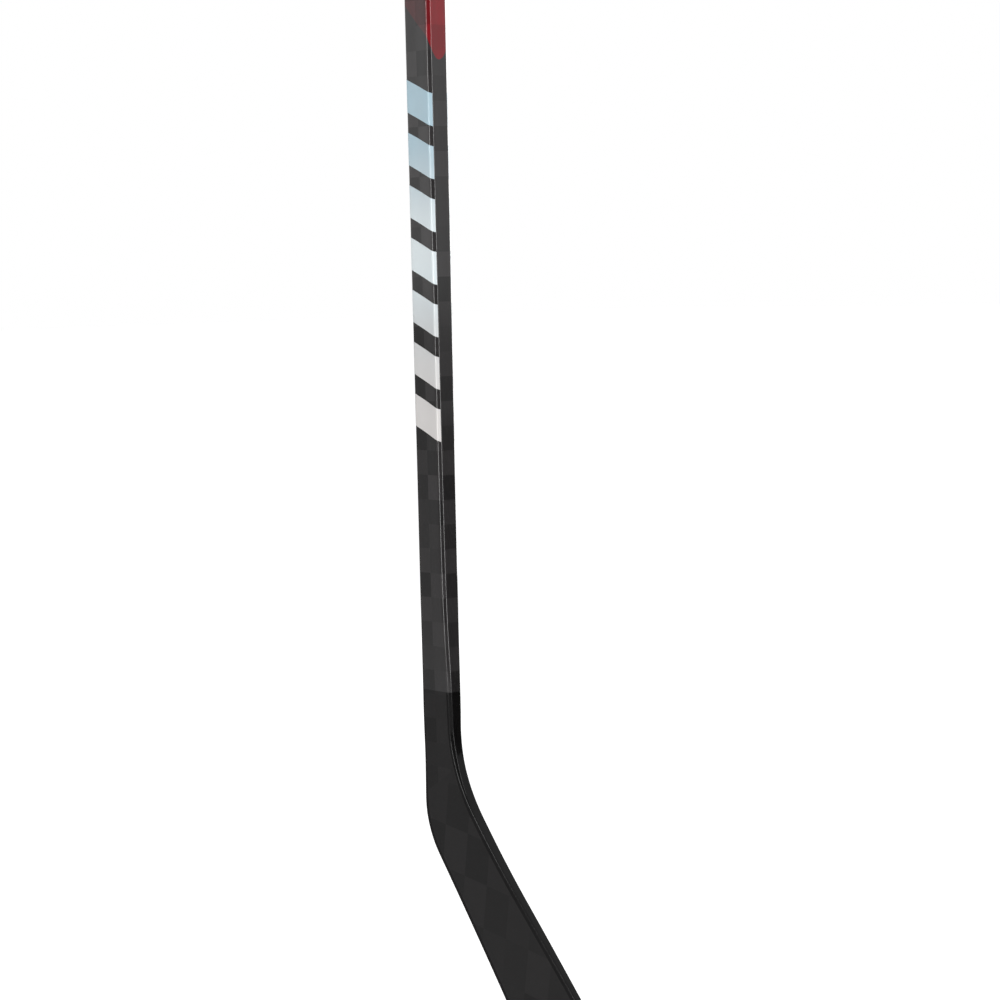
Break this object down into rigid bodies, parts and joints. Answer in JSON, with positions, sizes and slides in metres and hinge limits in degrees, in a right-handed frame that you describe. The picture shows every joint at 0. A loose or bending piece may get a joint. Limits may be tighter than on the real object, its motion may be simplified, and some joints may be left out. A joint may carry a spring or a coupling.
{
  "type": "ice hockey stick",
  "caption": "Composite ice hockey stick: hollow tapered shaft, bonded hosel and a curved foam-core carbon blade, for striking and carrying a puck.",
  "frame": {"origin": "middle of the top-hand grip, on the shaft's axis, 75 mm below the butt", "axes": "+Z along the shaft towards the butt, +X from the shaft towards the toe, -Y out of the forehand (concave) face"},
  "size_m": [0.2425, 0.0222, 1.7446],
  "materials": {
    "carbon_shaft": "lacquered spread-tow carbon, red paint on the upper shaft",
    "carbon_blade": "satin spread-tow carbon",
    "carbon_edge": "satin black laminate edge",
    "foam": "closed-cell structural foam",
    "damping_foam": "soft closed-cell foam",
    "adhesive": "cured epoxy film",
    "plug_plastic": "moulded nylon, fine matt",
    "printed_film": "printed film under lacquer"
  },
  "bodies": {
    "root": {"shaft_tube": "carbon_shaft", "hosel_shell": "carbon_shaft", "joint_wrap": "carbon_shaft", "tenon_bond": "adhesive", "hosel_core": "foam", "damping_plug": "damping_foam", "butt_end_plug": "plug_plastic", "front_film": "printed_film", "back_film": "printed_film", "blade_front_skin": "carbon_blade", "blade_back_skin": "carbon_blade", "blade_edge_band": "carbon_edge", "blade_rib": "carbon_edge", "blade_lower_core": "foam", "blade_upper_core": "foam"}
  },
  "joints": []
}
